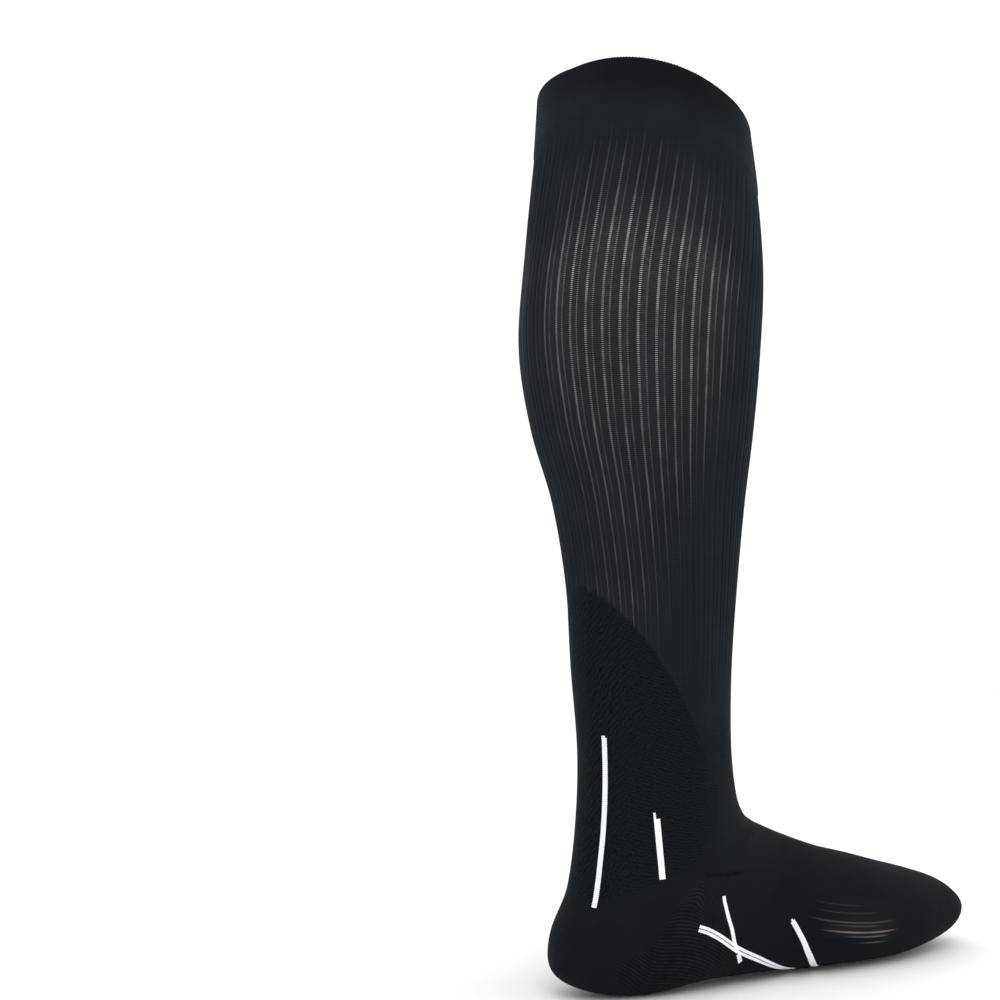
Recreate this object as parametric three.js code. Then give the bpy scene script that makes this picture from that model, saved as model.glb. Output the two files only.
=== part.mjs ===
// A knee-high compression stocking, open and hollow, in the shape it takes when it is worn.
// Millimetres, +Z up, toes towards -Y, the wearer's inner side towards +X (a right foot).
// The origin is the centre of the welt, where the leg holds the stocking up.
// The knit is one tube: a turned welt, a ribbed leg, a dense heel with its Achilles pad, a foot and a closed toe.
import * as THREE from "three";

// Driving dimensions
const WELT_CENTRE = { y: 7, z: 409 }; // from the ankle's axis, above the floor
const LEG_WALL = 1.4;
const HEEL_WALL = 1.8;
const FOOT_WALL = 1.4;
const TOE_WALL = 1.8;
const WELT_WALL = 2.2; // two layers, turned over at the top
const WELT_PROUD = 0.4; // how far the welt stands out from the leg
const WELT_FOLD_RISE = 0.9; // the fold's round top
const SEAM_GAP = 0.3;
const RIB_COUNT = 44;
const RIB_GROOVE_DEPTH = 0.5;
const RIB_GROOVE_SHARE = 0.17; // of one rib's pitch
const RIB_START = -0.25; // where the first groove lies from the middle of the front, in pitches
// The ribs turn a little round the leg: in pitches, over these places. They run straight down the calf.
const TURN_UNDER_WELT = { pitches: 0.95, from: 0.7, to: 2.6 };
const TURN_TO_ANKLE = { pitches: 1, from: 4.5, to: 7.6 };
const FLOOR_SOFTNESS = 1; // how gently the sole flattens where it meets the floor

// The sections, from the top edge to the toe's tip. Each lies in the plane through a front and a back point.
// sole: squareness of its back half, front: of its front half, 2 is an ellipse.
// widest: where the widest level lies, as a share of the depth from the back. innerLift: rise of the inner side.
const COLUMNS = "frontY frontZ backY backZ halfWidth shift front sole widest innerLift".split(" ");
const SECTIONS = [
  ["top edge", -40, 404, 54, 442, 58, 0, 2, 2.2, 0.5, 4],
  ["welt end", -45, 375, 59, 413, 60, 0, 2, 2, 0.5, 0],
  ["upper calf", -48, 338, 65, 362, 62, 0, 2, 2, 0.5, 0],
  ["calf", -46, 300, 70, 312, 61, 0, 2, 2, 0.5, 0],
  ["mid calf", -43, 265, 64, 270, 56, 0, 2, 2, 0.5, 0],
  ["lower calf", -40, 230, 53, 233, 48, 0, 2, 2, 0.5, 0],
  ["shank", -37, 190, 47, 192, 42, 0, 2, 1.95, 0.5, 0],
  ["low shank", -35, 150, 46, 151, 38, 0, 2, 1.9, 0.5, 0],
  ["ankle", -36, 115, 44, 112, 35, 0, 2, 1.85, 0.5, 0],
  ["above heel", -40, 92, 46, 78, 34.5, 0, 2, 1.85, 0.5, 0],
  ["instep bend", -48, 81, 52, 45, 34, 0, 2, 1.9, 0.48, 0],
  ["heel back", -57, 75.5, 63, 22, 35, 0, 2, 2, 0.46, 0],
  ["heel under", -66, 72, 58, 7, 35, 0, 2, 2.2, 0.42, 0],
  ["heel sole", -77, 68, 29, -1.5, 35, 0, 2, 2.3, 0.4, 4],
  ["arch start", -92, 63, -12, 1, 36, 0, 2, 2.4, 0.4, 14],
  ["arch", -110, 58, -56, 0.5, 41, 2, 2, 2.5, 0.4, 20],
  ["waist", -133, 53, -96, -1, 47, 4, 2, 2.5, 0.4, 12],
  ["ball", -158, 47, -135, -2, 48, 6, 2, 2.5, 0.42, 2],
  ["toes", -184, 41, -168, 0, 43, 8, 2, 2.4, 0.44, 0],
  ["toe cap", -204, 35, -193, 3.5, 36, 10, 2, 2.2, 0.47, 0],
  ["toe end", -214, 26, -208, 9, 24, 11, 2, 2, 0.5, 0],
  ["tip", -217, 15, -217, 15, 0, 12, 2, 2, 0.5, 0],
].map(([name, ...values]) => Object.fromEntries([["name", name], ...COLUMNS.map((c, i) => [c, values[i]])]));

const placeOf = (name) => SECTIONS.findIndex((section) => section.name === name);
const TIP = placeOf("tip");

// The zones of the knit, as places along the sections, with the rows of the mesh in each
const WELT_END = placeOf("welt end");
const LEG_END = placeOf("ankle");
const HEEL_END = placeOf("heel sole") + 0.5;
const FOOT_END = placeOf("ball") + 0.5;

// The Achilles pad, where the ribs stop: its top above the floor, and how far round it has spread lower down
const PAD = { centre: 0.485, topZ: 190, lowZ: 82, lowSpread: 0.325, spreadPower: 0.58, halfEdge: 0.008 };
const RIBS = { startFade: 0.3, lowStart: placeOf("shank"), lowEnd: LEG_END };

// The section past the tip is the last one seen through the pole, so the toe closes round
const beforeTip = SECTIONS[TIP - 1];
const throughPole = {
  ...beforeTip,
  frontY: beforeTip.backY,
  frontZ: beforeTip.backZ,
  backY: beforeTip.frontY,
  backZ: beforeTip.frontZ,
  halfWidth: -beforeTip.halfWidth,
};
const firstSection = Object.fromEntries(COLUMNS.map((c) => [c, 2 * SECTIONS[0][c] - SECTIONS[1][c]]));

// A smooth curve through the table: the section at any place along the stocking
function sectionAt(place) {
  const index = Math.min(Math.max(Math.floor(place), 0), TIP - 1);
  const f = place - index;
  const around = [
    index > 0 ? SECTIONS[index - 1] : firstSection,
    SECTIONS[index],
    SECTIONS[index + 1],
    index + 2 <= TIP ? SECTIONS[index + 2] : throughPole,
  ];
  const blend = (a, b, c, d) =>
    0.5 * (2 * b + (c - a) * f + (2 * a - 5 * b + 4 * c - d) * f * f + (3 * b - a - 3 * c + d) * f * f * f);
  return Object.fromEntries(COLUMNS.map((c) => [c, blend(...around.map((section) => section[c]))]));
}

const power = (value, exponent) => Math.sign(value) * Math.abs(value) ** exponent;

// One point of a section, by its angle from the front
function sectionPoint(section, angle) {
  const cosine = Math.cos(angle);
  const roundness = 2 / (cosine > 0 ? section.front : section.sole);
  const forward = power(cosine, roundness);
  const sideways = power(Math.sin(angle), roundness);
  const towardsBack = 1 - section.widest - (forward > 0 ? 1 - section.widest : section.widest) * forward;
  const lift = section.innerLift * Math.max(0, -forward) * Math.max(0, sideways);
  const z = THREE.MathUtils.lerp(section.frontZ, section.backZ, towardsBack) + lift;
  return new THREE.Vector3(
    section.shift + section.halfWidth * sideways,
    THREE.MathUtils.lerp(section.frontY, section.backY, towardsBack),
    (z + Math.hypot(z, FLOOR_SOFTNESS)) / 2,
  );
}

// A section as points at the given shares of its girth, so that the ribs spread evenly round it
const FINE_STEPS = 720;
function ringPoints(place, shares) {
  const section = sectionAt(place);
  const fine = Array.from({ length: FINE_STEPS + 1 }, (_, i) =>
    sectionPoint(section, (2 * Math.PI * i) / FINE_STEPS),
  );
  const reached = [0];
  for (let i = 1; i <= FINE_STEPS; i++) reached.push(reached[i - 1] + fine[i].distanceTo(fine[i - 1]));
  const girth = reached[FINE_STEPS];
  return shares.map((share) => {
    const target = (((share % 1) + 1) % 1) * girth;
    let i = 1;
    while (i < FINE_STEPS && reached[i] < target) i++;
    const f = (target - reached[i - 1]) / Math.max(reached[i] - reached[i - 1], 1e-9);
    return fine[i - 1].clone().lerp(fine[i], f);
  });
}

// Points with their outward normals and the ways towards the toe, square to the ring
const PLACE_STEP = 0.02;
const SHARE_STEP = 0.004;
function ringWithNormals(place, shares) {
  const points = ringPoints(place, shares);
  const [before, after] = [-1, 1].map((side) =>
    ringPoints(THREE.MathUtils.clamp(place + side * PLACE_STEP, 0, TIP - PLACE_STEP), shares),
  );
  const [left, right] = [-1, 1].map((side) =>
    ringPoints(place, shares.map((share) => share + side * SHARE_STEP)),
  );
  return points.map((point, i) => {
    const round = right[i].clone().sub(left[i]).normalize();
    const normal = after[i].clone().sub(before[i]).cross(round).normalize();
    return { point, normal, along: round.cross(normal) };
  });
}

const smooth = (value, from, to) => THREE.MathUtils.smoothstep(value, from, to);

// How deep the grooves between the ribs are at a point: none on the pad, and fading out at both ends
function grooveDepth(place, share, point) {
  const down = THREE.MathUtils.clamp((PAD.topZ - point.z) / (PAD.topZ - PAD.lowZ), 0, 1);
  const spread = PAD.lowSpread * down ** PAD.spreadPower;
  const away = Math.abs(share - PAD.centre);
  const offPad = down > 0 ? smooth(away, spread - PAD.halfEdge, spread + PAD.halfEdge) : 1;
  const fadeIn = smooth(place, WELT_END, WELT_END + RIBS.startFade);
  const fadeOut = 1 - smooth(place, RIBS.lowStart, RIBS.lowEnd);
  return RIB_GROOVE_DEPTH * offPad * fadeIn * fadeOut;
}

// How far round the ribs have turned at a place, as a share of the girth
function ribTurn(place) {
  const turned = ({ pitches, from, to }) => pitches * smooth(place, from, to);
  return (TURN_UNDER_WELT.pitches - turned(TURN_UNDER_WELT) + turned(TURN_TO_ANKLE)) / RIB_COUNT;
}

const evenShares = (count, start = 0) => Array.from({ length: count }, (_, i) => (i + start) / count);
const ribShares = () =>
  evenShares(RIB_COUNT, RIB_START).flatMap((share) =>
    [-0.5, 0, 0.5].map((side) => share + (side * RIB_GROOVE_SHARE) / RIB_COUNT),
  );

// A stretch of the knitted tube as one closed wall
// outer and inner are shares round the girth, and proud and wall its offsets from the form
function knitWall({ places, outer, inner, wall, proud = 0, grooved = false, closedToe = false, fold = 0 }) {
  const positions = [];
  const faces = [];
  const addRing = (points) => {
    const start = positions.length / 3;
    points.forEach((p) => positions.push(p.x, p.y, p.z));
    return { start, count: points.length };
  };
  // The first and last rows stand half a seam's gap inside the zone
  const rowPoints = (row, evenly, offset) => {
    const place = places[row];
    const shares = grooved ? evenly.map((share) => share + ribTurn(place)) : evenly;
    const inset = row === 0 && place > 0 ? 1 : row === places.length - 1 ? -1 : 0;
    return ringWithNormals(place, shares).map(({ point, along, normal }, i) => {
      const depth = grooved && offset > wall * -0.5 && i % 3 === 1 ? grooveDepth(place, shares[i], point) : 0;
      return point.addScaledVector(normal, offset - depth).addScaledVector(along, (inset * SEAM_GAP) / 2);
    });
  };
  const rows = places.map((_, row) => ({
    outer: addRing(rowPoints(row, outer, proud)),
    inner: addRing(rowPoints(row, inner, proud - wall)),
  }));
  const quad = (a, b, c, d) => faces.push(a, b, c, a, c, d);
  const strip = (upper, lower, facingOut) => {
    for (let i = 0; i < upper.count; i++) {
      const next = (i + 1) % upper.count;
      const corners = [upper.start + i, lower.start + i, lower.start + next, upper.start + next];
      quad(...(facingOut ? corners : corners.reverse()));
    }
  };
  for (let row = 1; row < rows.length; row++) {
    strip(rows[row - 1].outer, rows[row].outer, true);
    strip(rows[row - 1].inner, rows[row].inner, false);
  }
  // An edge joins an outer ring to an inner one, whose points are as many or a third as many
  const edge = (outerRing, innerRing, facingUp) => {
    const each = outerRing.count / innerRing.count;
    const triangle = (a, b, c) => faces.push(...(facingUp ? [a, b, c] : [c, b, a]));
    for (let i = 0; i < innerRing.count; i++) {
      const here = innerRing.start + i;
      const next = innerRing.start + ((i + 1) % innerRing.count);
      for (let k = 0; k < each; k++) {
        const a = outerRing.start + i * each + k;
        const b = outerRing.start + ((i * each + k + 1) % outerRing.count);
        triangle(a, b, here);
      }
      triangle(outerRing.start + (((i + 1) * each) % outerRing.count), next, here);
    }
  };
  if (fold > 0) {
    const ridge = addRing(
      ringWithNormals(places[0], outer).map(({ point, along, normal }) =>
        point.addScaledVector(normal, proud - wall / 2).addScaledVector(along, -fold),
      ),
    );
    edge(rows[0].outer, ridge, true);
    edge(ridge, rows[0].inner, true);
  } else {
    edge(rows[0].outer, rows[0].inner, true);
  }
  const last = rows[rows.length - 1];
  if (closedToe) {
    [last.outer, last.inner].forEach((ring, isInner) => {
      const middle = new THREE.Vector3();
      for (let i = 0; i < ring.count; i++) {
        middle.add(new THREE.Vector3().fromArray(positions, 3 * (ring.start + i)));
      }
      const pole = addRing([middle.divideScalar(ring.count)]).start;
      for (let i = 0; i < ring.count; i++) {
        const pair = [ring.start + i, ring.start + ((i + 1) % ring.count)];
        faces.push(...(isInner ? pair : pair.reverse()), pole);
      }
    });
  } else {
    edge(last.outer, last.inner, false);
  }
  const geometry = new THREE.BufferGeometry();
  geometry.setAttribute("position", new THREE.Float32BufferAttribute(positions, 3));
  geometry.setIndex(faces);
  geometry.computeVertexNormals();
  return geometry;
}

const stretch = (from, to, rows) => Array.from({ length: rows + 1 }, (_, i) => from + ((to - from) * i) / rows);

const black = (tone, roughness) => new THREE.MeshStandardMaterial({ color: tone, roughness, metalness: 0 });
const RIB_KNIT = black(0x1f2023, 0.75);
const PLAIN_KNIT = black(0x17181b, 0.8);
const DENSE_KNIT = black(0x121417, 0.9);

const stocking = new THREE.Group();
stocking.position.set(0, -WELT_CENTRE.y, -WELT_CENTRE.z);
function addZone(name, material, shape) {
  const mesh = new THREE.Mesh(knitWall(shape), material);
  mesh.name = name;
  stocking.add(mesh);
}

const PLAIN_SHARES = evenShares(48);
const LAST_TOE_ROW = TIP - 0.12;

addZone("welt", PLAIN_KNIT, {
  places: stretch(0, WELT_END, 4),
  outer: PLAIN_SHARES,
  inner: PLAIN_SHARES,
  wall: WELT_WALL,
  proud: WELT_PROUD,
  fold: WELT_FOLD_RISE,
});
addZone("leg", RIB_KNIT, {
  places: [WELT_END, WELT_END + RIBS.startFade, ...stretch(WELT_END + 0.5, LEG_END, 14)],
  outer: ribShares(),
  inner: evenShares(RIB_COUNT, RIB_START),
  wall: LEG_WALL,
  grooved: true,
});
addZone("heel", DENSE_KNIT, {
  places: stretch(LEG_END, HEEL_END, 12),
  outer: PLAIN_SHARES,
  inner: PLAIN_SHARES,
  wall: HEEL_WALL,
});
addZone("foot", PLAIN_KNIT, {
  places: stretch(HEEL_END, FOOT_END, 7),
  outer: PLAIN_SHARES,
  inner: PLAIN_SHARES,
  wall: FOOT_WALL,
});
addZone("toe", DENSE_KNIT, {
  places: [...stretch(FOOT_END, TIP - 1, 5), TIP - 0.65, TIP - 0.35, LAST_TOE_ROW],
  outer: PLAIN_SHARES,
  inner: PLAIN_SHARES,
  wall: TOE_WALL,
  closedToe: true,
});

export default stocking;
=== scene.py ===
"""The looks of a knee-high compression stocking, laid out as a Blender add-on and run as a script.

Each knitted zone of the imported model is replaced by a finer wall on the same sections.
The frame is in metres, +Z up, toes towards -Y, with the origin at the centre of the welt.
"""

import math

import bpy
import numpy as np
from bpy.props import FloatProperty, FloatVectorProperty, IntProperty, PointerProperty
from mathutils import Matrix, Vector


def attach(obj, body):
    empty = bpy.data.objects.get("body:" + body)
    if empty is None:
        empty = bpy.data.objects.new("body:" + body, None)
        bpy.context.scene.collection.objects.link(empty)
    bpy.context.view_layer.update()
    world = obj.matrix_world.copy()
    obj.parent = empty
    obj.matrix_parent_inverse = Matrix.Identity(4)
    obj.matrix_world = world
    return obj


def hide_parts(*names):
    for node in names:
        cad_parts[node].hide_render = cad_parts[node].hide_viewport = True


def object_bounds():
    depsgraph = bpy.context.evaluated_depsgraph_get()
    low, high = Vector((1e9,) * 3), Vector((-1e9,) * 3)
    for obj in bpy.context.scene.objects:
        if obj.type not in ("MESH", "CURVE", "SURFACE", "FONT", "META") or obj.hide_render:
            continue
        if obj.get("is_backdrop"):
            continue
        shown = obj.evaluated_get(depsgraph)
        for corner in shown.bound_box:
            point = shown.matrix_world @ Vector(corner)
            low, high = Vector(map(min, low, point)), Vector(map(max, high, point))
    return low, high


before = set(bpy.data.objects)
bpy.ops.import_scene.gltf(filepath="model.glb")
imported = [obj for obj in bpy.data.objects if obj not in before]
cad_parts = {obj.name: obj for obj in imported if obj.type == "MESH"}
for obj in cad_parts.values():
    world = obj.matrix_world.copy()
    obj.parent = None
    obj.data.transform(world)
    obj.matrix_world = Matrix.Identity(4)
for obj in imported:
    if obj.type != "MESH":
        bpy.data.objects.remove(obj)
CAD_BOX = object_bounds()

bl_info = {
    "name": "Compression stocking",
    "version": (1, 0, 0),
    "blender": (4, 5, 0),
    "location": "3D View > Sidebar > Stocking",
    "description": "Knits a ribbed knee-high stocking with a dense heel, white strokes and a turned welt",
    "category": "Object",
}

MM = 0.001

# The welt's centre, from the ankle's axis and above the floor, in millimetres. It is the frame's origin.
WELT_CENTRE = np.array([0.0, 7.0, 409.0])
FLOOR_SOFTNESS = 1.0

# The sections, from the top edge to the toe's tip, in millimetres. Each lies in the plane through its front
# and back points. The square columns are the exponents of its front and sole halves, and 2 is an ellipse.
COLUMNS = "front_y front_z back_y back_z half_width shift front_square sole_square widest inner_lift".split()
SECTIONS = (
    ("top edge", -40, 404, 54, 442, 58, 0, 2, 2.2, 0.5, 4),
    ("welt end", -45, 375, 59, 413, 60, 0, 2, 2, 0.5, 0),
    ("upper calf", -48, 338, 65, 362, 62, 0, 2, 2, 0.5, 0),
    ("calf", -46, 300, 70, 312, 61, 0, 2, 2, 0.5, 0),
    ("mid calf", -43, 265, 64, 270, 56, 0, 2, 2, 0.5, 0),
    ("lower calf", -40, 230, 53, 233, 48, 0, 2, 2, 0.5, 0),
    ("shank", -37, 190, 47, 192, 42, 0, 2, 1.95, 0.5, 0),
    ("low shank", -35, 150, 46, 151, 38, 0, 2, 1.9, 0.5, 0),
    ("ankle", -36, 115, 44, 112, 35, 0, 2, 1.85, 0.5, 0),
    ("above heel", -40, 92, 46, 78, 34.5, 0, 2, 1.85, 0.5, 0),
    ("instep bend", -48, 81, 52, 45, 34, 0, 2, 1.9, 0.48, 0),
    ("heel back", -57, 75.5, 63, 22, 35, 0, 2, 2, 0.46, 0),
    ("heel under", -66, 72, 58, 7, 35, 0, 2, 2.2, 0.42, 0),
    ("heel sole", -77, 68, 29, -1.5, 35, 0, 2, 2.3, 0.4, 4),
    ("arch start", -92, 63, -12, 1, 36, 0, 2, 2.4, 0.4, 14),
    ("arch", -110, 58, -56, 0.5, 41, 2, 2, 2.5, 0.4, 20),
    ("waist", -133, 53, -96, -1, 47, 4, 2, 2.5, 0.4, 12),
    ("ball", -158, 47, -135, -2, 48, 6, 2, 2.5, 0.42, 2),
    ("toes", -184, 41, -168, 0, 43, 8, 2, 2.4, 0.44, 0),
    ("toe cap", -204, 35, -193, 3.5, 36, 10, 2, 2.2, 0.47, 0),
    ("toe end", -214, 26, -208, 9, 24, 11, 2, 2, 0.5, 0),
    ("tip", -217, 15, -217, 15, 0, 12, 2, 2, 0.5, 0),
)
PLACE = {row[0]: place for place, row in enumerate(SECTIONS)}
TIP = PLACE["tip"]
LAST_TOE_ROW = TIP - 0.04

# Each zone's stretch of places, its wall and how far it stands proud of the form, in millimetres
ZONES = {
    "welt": (0, PLACE["welt end"], 2.2, 0.4),
    "leg": (PLACE["welt end"], PLACE["ankle"], 1.4, 0),
    "heel": (PLACE["ankle"], PLACE["heel sole"] + 0.5, 1.8, 0),
    "foot": (PLACE["heel sole"] + 0.5, PLACE["ball"] + 0.5, 1.4, 0),
    "toe": (PLACE["ball"] + 0.5, LAST_TOE_ROW, 1.8, 0),
}

# One rib's pitch: a deep groove at 0, a narrow rib, a shallower groove and a wide rib. The columns are the
# share of the pitch, of the main groove's depth, of the second groove's depth and of the crown's height.
RIB_COUNT = 44
RIB_START = -0.25
SECOND_GROOVE = 0.42
RIB_PROFILE = (
    ("main groove's edge", -0.08, 0, 0, 0),
    ("its floor", -0.05, 1, 0, 0),
    ("its middle", 0.0, 1, 0, 0),
    ("its floor", 0.05, 1, 0, 0),
    ("its other edge", 0.08, 0, 0, 0),
    ("narrow rib", 0.15, 0, 0, 0.7),
    ("its crown", 0.235, 0, 0, 0.9),
    ("narrow rib", 0.32, 0, 0, 0.7),
    ("second groove's edge", 0.37, 0, 0, 0),
    ("its floor", 0.392, 0, 1, 0),
    ("its middle", 0.42, 0, 1, 0),
    ("its floor", 0.448, 0, 1, 0),
    ("its other edge", 0.47, 0, 0, 0),
    ("wide rib", 0.57, 0, 0, 0.8),
    ("its crown", 0.695, 0, 0, 1),
    ("wide rib", 0.82, 0, 0, 0.8),
)
WALES_PER_RIB = 8
COLUMN_COUNT = 288  # columns of points round a plain zone

# The ribs turn a little round the leg, in pitches, over these places. They run straight down the calf.
TURN_UNDER_WELT = (0.95, 0.7, 2.6)
TURN_TO_ANKLE = (1.0, 4.5, 7.6)

# The Achilles pad: heights above the floor in millimetres, and its spread round the back, of the girth. Over
# the heel it narrows by a share between two places, and it ends between two places.
PAD_CENTRE = 0.485
PAD_TOP = 190.0
PAD_LOW = 82.0
PAD_LOW_SPREAD = 0.325
PAD_SPREAD_POWER = 0.58
PAD_HALF_EDGE = 0.008
PAD_NARROWING = (0.23, 8.6, 10.2)
PAD_END = (9.7, 10.5)

# How clearly the sheer lines show, by height above the floor in millimetres, and by place under the welt
SHEER_BY_HEIGHT = (
    ("ankle", 120, 0.0),
    ("low shank", 150, 0.03),
    ("beside the pad", 172, 0.17),
    ("pad's top", 184, 0.26),
    ("over the pad", 200, 0.22),
    ("shank", 220, 0.24),
    ("lower calf", 240, 0.31),
    ("under the calf", 256, 0.34),
    ("mid calf", 272, 0.4),
    ("low on the calf", 290, 0.47),
    ("calf", 306, 0.51),
    ("high on the calf", 320, 0.55),
    ("clearest", 332, 0.66),
    ("upper calf", 345, 0.66),
)
SHEER_BY_PLACE = (
    ("welt end", 1.02, 0.0),
    ("below the welt", 1.15, 0.05),
    ("first lines", 1.25, 0.14),
    ("clear lines", 1.45, 0.26),
    ("open lines", 1.62, 0.34),
    ("opening out", 1.8, 0.52),
    ("upper calf", 2.1, 1.0),
)
# How far round from the pad's centre the lines start to fade and are gone, as shares of the girth, by height,
# and how wide the quiet strip along the back is. The strip has its middle at a share, and loses this much.
SHEER_ENDS = (
    ("low shank", 150, 0.1, 0.2, 0.06),
    ("shank", 200, 0.11, 0.225, 0.06),
    ("lower calf", 250, 0.18, 0.29, 0.06),
    ("calf", 300, 0.225, 0.315, 0.038),
)
QUIET_STRIP = (0.465, 0.8)
# The lines start nearest to the welt on the calf's two heads. Away from them they start later, by places that
# grow with the square of the distance, up to the longest delay.
SHEER_HEAD = 0.13
SHEER_DELAY = 24.0
LONGEST_DELAY = 0.3

# The white strokes of the outer side: name, node, columns of stitches, their pitch and the gap between the
# halves of a double stroke, in millimetres, the splay of each V's legs in degrees, how many stitches sooner
# each column starts, and the path by place along the sections and share of the girth. Each has its mirror
# image on the inner side.
STROKES = (
    ("long", "heel", 3, 0.82, 0, 24, (1, 1, 0),
     ((7.815, 0.5353), (8.4, 0.5372), (9.06, 0.5375), (9.54, 0.536), (10.155, 0.536))),
    ("short", "heel", 3, 0.94, 0, 24, (3, 0, 0),
     ((8.965, 0.641), (9.3, 0.645), (9.63, 0.6491), (9.98, 0.6536))),
    ("slant", "foot", 2, 1.05, 0, 38, (0, 0),
     ((11.8, 0.7775), (12.03, 0.77), (12.25, 0.762), (12.6, 0.744), (12.94, 0.7215), (13.5, 0.6725))),
    ("slant's end", "foot", 2, 1.05, 0, 46, (0, 0), ((13.56, 0.667), (13.84, 0.6395))),
    ("sweep", "foot", 2, 1.3, 0.55, 34, (0, 0),
     ((12.08, 0.7095), (12.36, 0.7125), (12.7, 0.709), (13.05, 0.6985), (13.4, 0.682), (13.83, 0.6595),
      (14.26, 0.64), (14.7, 0.619), (15.3, 0.586))),
    ("bar", "foot", 3, 0.95, 0, 38, (0, 1, 0),
     ((14.15, 0.7425), (14.3, 0.7285), (14.58, 0.7008), (14.86, 0.672), (15.04, 0.6555), (15.28, 0.6326),
      (15.64, 0.598))),
)
MIRROR_SHARE = 0.456
STITCH_WIDTH = 0.66  # of the columns' pitch
STITCH_LENGTH = 1.2  # of the courses' pitch
STITCH_THICKNESS = 0.42 * MM
STITCH_LIFT = 0.06 * MM
STITCH_SHOULDER = 0.31  # how far from its middle a stitch's leg starts to taper, of its length
PATH_STEPS = 400  # steps along a stroke's path that are small enough to measure its length with

# Soft troughs in the cloth: depth and half-width in millimetres, and the path by place and share
CREASES = (
    ("outer ankle", 0.5, 0.9, ((10.38, 0.742), (10.72, 0.772), (11.2, 0.807), (11.78, 0.837), (12.6, 0.868))),
    ("inner ankle", 0.45, 1.0, ((10.4, 0.252), (11.0, 0.205), (11.9, 0.16), (12.5, 0.13))),
    ("outer bend", 0.3, 2.6, ((10.2, 0.85), (10.5, 0.9), (10.8, 0.955))),
    ("front bend", 0.35, 3.0, ((9.9, 0.93), (10.0, 1.0), (10.1, 1.06))),
    ("inner bend", 0.25, 2.4, ((10.5, 0.05), (10.5, 0.15))),
    ("outer instep", 0.2, 2.8, ((12.8, 0.9), (13.1, 0.98))),
    ("toe top", 0.22, 2.6, ((18.1, 0.93), (18.2, 1.0), (18.3, 1.08))),
)
CREASE_STEPS = 30
CREASE_END = 0.06  # how far into its soft ends a crease stops, as a share of its length
FULL_SHADE_DEPTH = 0.5 * MM

# The courses that fan out over the heel's sides. At each height above the floor, they run between two
# distances behind the ankle's axis, and bow up highest at a third, with a bend. All are in millimetres.
FAN = (
    ("sole", 3, -20, 40, 26, 0.009),
    ("above the sole", 11, -13, 49, 26, 0.009),
    ("low corner", 16, -10, 51, 26, 0.009),
    ("low edge", 20, -8, 47, 26, 0.0085),
    ("heel's side", 24, -7, 36.5, 26, 0.008),
    ("middle", 33, -5, 30, 23, 0.011),
    ("under the ankle", 41, -3, 24, 18, 0.03),
    ("top arcs", 46, -2, 17, 11, 0.055),
    ("apex", 53, -1, 7, 8, 0.085),
)
FAN_CURL = (33.0, 0.95, 4.0)  # behind here they turn up, at this slope, over this softness
FAN_PITCH = 1.7
# Where they fade: past the front and back ends, and by height at the sole and the top, in millimetres
FAN_FADES = {"front": (-3, 4), "back": (-1.5, 3.5), "sole": (1, 6), "top": (53, 57)}

# The pale lines over the ball of the foot: how far from the middle of the sole as a share of the girth, the
# places where each starts and ends, and its brightness. All bend alike round the place where they are lowest.
BALL_LINES = (
    ("upper faint", 0.2815, 14.4, 15.5, 0.06),
    ("lower faint", 0.2635, 14.5, 15.8, 0.08),
    ("first", 0.242, 14.5, 16.2, 0.22),
    ("its twin", 0.2343, 15.0, 15.95, 0.18),
    ("brightest", 0.22, 14.95, 16.3, 0.78),
    ("below it", 0.2103, 15.45, 16.2, 0.6),
    ("lowest", 0.196, 15.7, 16.2, 0.45),
)
BALL_PLACE = 15.4
BALL_BEND = 0.0125
LINE_WIDTH = (0.0006, 0.0026)  # how far from its middle a line is full and gone, of the girth
LINE_FADES = (-0.2, 0.5, -0.2, 0.1)  # the stretches round a line's start and end where it fades, in places
INNER_SIDE = 0.6  # how clearly they show on the inner side

# The glow round them: between which places it sets in and ends, and between which shares of the girth from
# the back it sets in, loses strength and ends
GLOW_ALONG = ((14.6, 15.4), (15.9, 16.5))
GLOW_ACROSS = ((0.2, 0.222), (0.235, 0.26), (0.28, 0.31))
GLOW_LOSS = 0.6

# How uneven each pattern is. The columns are the noise's scale, detail and stretch along the axes, the two of
# its values between which the pattern changes, and the pattern's strength at either one.
UNEVEN = {
    "cloudy yarn": (38, 3, None, 0.3, 0.7, 0.2, 0),
    "broken ropes": (1100, 2, None, 0.38, 0.62, 0, 1),
    "blue patches": (46, 2, None, 0.52, 0.66, 0, 0.8),
    "floats": (210, 3, (1, 1, 0.45), 0.28, 0.68, 0.4, 1),
    "patches of rungs": (60, 2, None, 0.35, 0.68, 0.65, 1),
    "broken rungs": (420, 2, None, 0.35, 0.65, 0.35, 1),
    "broken ridges": (300, 3, None, 0.3, 0.65, 0.35, 1),
    "streaks": (120, 2, (1, 0.4, 2.4), 0.25, 0.6, 0.55, 1),
}

# The pale threads in the grooves, in pitches of the ribs: where each lies, how far from there it is full and
# gone, how much wider it is where the knit is stretched, and its brightness
THREADS = (
    ("main groove", 0, 0.03, 0.06, 0.026, 1),
    ("second groove", SECOND_GROOVE, 0.016, 0.042, 0.016, 0.5),
)
# The pad's two slants of ropes: how many pass for each rib and for each course
ROPES = (
    ("steep", 1.75, 0.29),
    ("flat", -1.25, 0.57),
)
ROPE_WOBBLE = 2.2
PAD_SIDES = (0.02, 0.16)  # between these distances from its middle, of the girth, the flat ropes take over

# How far from a course and from a narrow rib's middle the beads and rungs are full and gone, in pitches
BEAD_LENGTH = (0.07, 0.24)
RUNG_LENGTH = (0.06, 0.26)
RUNG_WIDTH = (0.16, 0.26)

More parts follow.
